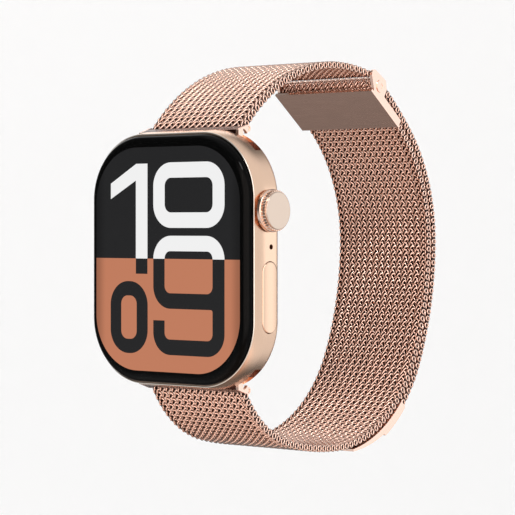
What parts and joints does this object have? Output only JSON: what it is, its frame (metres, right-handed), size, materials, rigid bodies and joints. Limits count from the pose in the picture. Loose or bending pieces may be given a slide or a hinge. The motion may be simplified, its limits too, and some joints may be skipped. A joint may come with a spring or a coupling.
{
  "type": "smartwatch",
  "caption": "Wrist smartwatch with a rounded metal case, touch display, knurled crown and side button on a closed woven wire-mesh loop with a magnetic end tab.",
  "frame": {"origin": "centre of the wrist opening, half way across the band", "axes": "+X towards the crown side, +Y from the display into the wrist opening, +Z towards twelve o'clock"},
  "size_m": [0.0411, 0.0685, 0.0736],
  "materials": {
    "case_metal": "satin anodised rose gold",
    "crown_metal": "satin, fine knurl",
    "button_metal": "satin",
    "crystal": "polished clear",
    "back_glass": "polished dark",
    "display": "lit display",
    "seal": "matte",
    "back_metal": "satin",
    "steel": "brushed",
    "board": "solder mask",
    "chip": "moulded",
    "cell": "foil pouch",
    "speaker_plastic": "moulded",
    "fine_mesh": "fine woven",
    "coil": "enamelled wire",
    "lamps": "clear lens",
    "lug_metal": "satin rose gold",
    "pin_steel": "polished rose gold",
    "mesh": "woven rose-gold wire",
    "buckle": "smooth rose gold",
    "tab": "smooth rose gold",
    "magnet": "plated"
  },
  "bodies": {
    "case": {"back_cover": "back_metal", "back_crystal": "back_glass", "back_seal": "seal", "battery": "cell", "button_bracket": "steel", "button_switch": "chip", "case_shell": "case_metal", "charging_coil": "coil", "chassis_screws": "steel", "chip_package": "chip", "crown_encoder": "chip", "crown_switch": "chip", "crown_tube": "steel", "crystal_seal": "seal", "display_flex": "board", "display_panel": "display", "display_shield": "steel", "front_crystal": "crystal", "haptic_motor": "steel", "logic_board": "board", "mic_mesh": "fine_mesh", "microphone": "chip", "mid_frame": "steel", "sensor_board": "board", "sensor_lamps": "lamps", "speaker_mesh": "fine_mesh", "speaker_module": "speaker_plastic"},
    "crown_carrier": {"crown_plunger": "steel"},
    "crown": {"crown_wheel": "crown_metal", "crown_cap": "crown_metal", "crown_shaft": "steel", "crown_seal_ring": "seal"},
    "side_button": {"side_button": "button_metal"},
    "release_upper": {"release_button_upper": "lug_metal"},
    "release_lower": {"release_button_lower": "lug_metal"},
    "band_loop": {"upper_lug": "lug_metal", "lower_lug": "lug_metal", "upper_lug_pin": "pin_steel", "lower_lug_pin": "pin_steel", "upper_lug_detent": "steel", "lower_lug_detent": "steel", "upper_mesh": "mesh", "lower_mesh": "mesh", "swivel_pin": "pin_steel"},
    "buckle": {"buckle_frame": "buckle", "cross_bar": "pin_steel"},
    "tail": {"tail_mesh": "mesh", "clasp_tab": "tab", "clasp_magnets": "magnet"}
  },
  "joints": [
    {"name": "crown_press", "type": "slide", "parent": "case", "child": "crown_carrier", "axis": [-1, 0, 0], "range_m": [0, 0.0002], "stiffness_N_per_m": 1500},
    {"name": "crown_spin", "type": "hinge", "parent": "crown_carrier", "child": "crown", "pos_m": [0.0198, -0.0314, 0.0086], "axis": [1, 0, 0], "continuous": true},
    {"name": "side_button_press", "type": "slide", "parent": "case", "child": "side_button", "axis": [-1, 0, 0], "range_m": [0, 0.0002], "stiffness_N_per_m": 1500},
    {"name": "release_upper_press", "type": "slide", "parent": "case", "child": "release_upper", "axis": [0, -1, 0], "range_m": [0, 0.0003], "stiffness_N_per_m": 1000},
    {"name": "release_lower_press", "type": "slide", "parent": "case", "child": "release_lower", "axis": [0, -1, 0], "range_m": [0, 0.0003], "stiffness_N_per_m": 1000},
    {"name": "band_slide", "type": "slide", "parent": "case", "child": "band_loop", "axis": [1, 0, 0], "range_m": [-0.046, 0.046]},
    {"name": "buckle_pivot", "type": "hinge", "parent": "band_loop", "child": "buckle", "pos_m": [0, 0.01012, 0.03489], "axis": [1, 0, 0], "range_deg": [-3, 0]},
    {"name": "tail_peel", "type": "hinge", "parent": "band_loop", "child": "tail", "pos_m": [0, 0.01191, 0.0327], "axis": [1, 0, 0], "range_deg": [0, 60]}
  ]
}
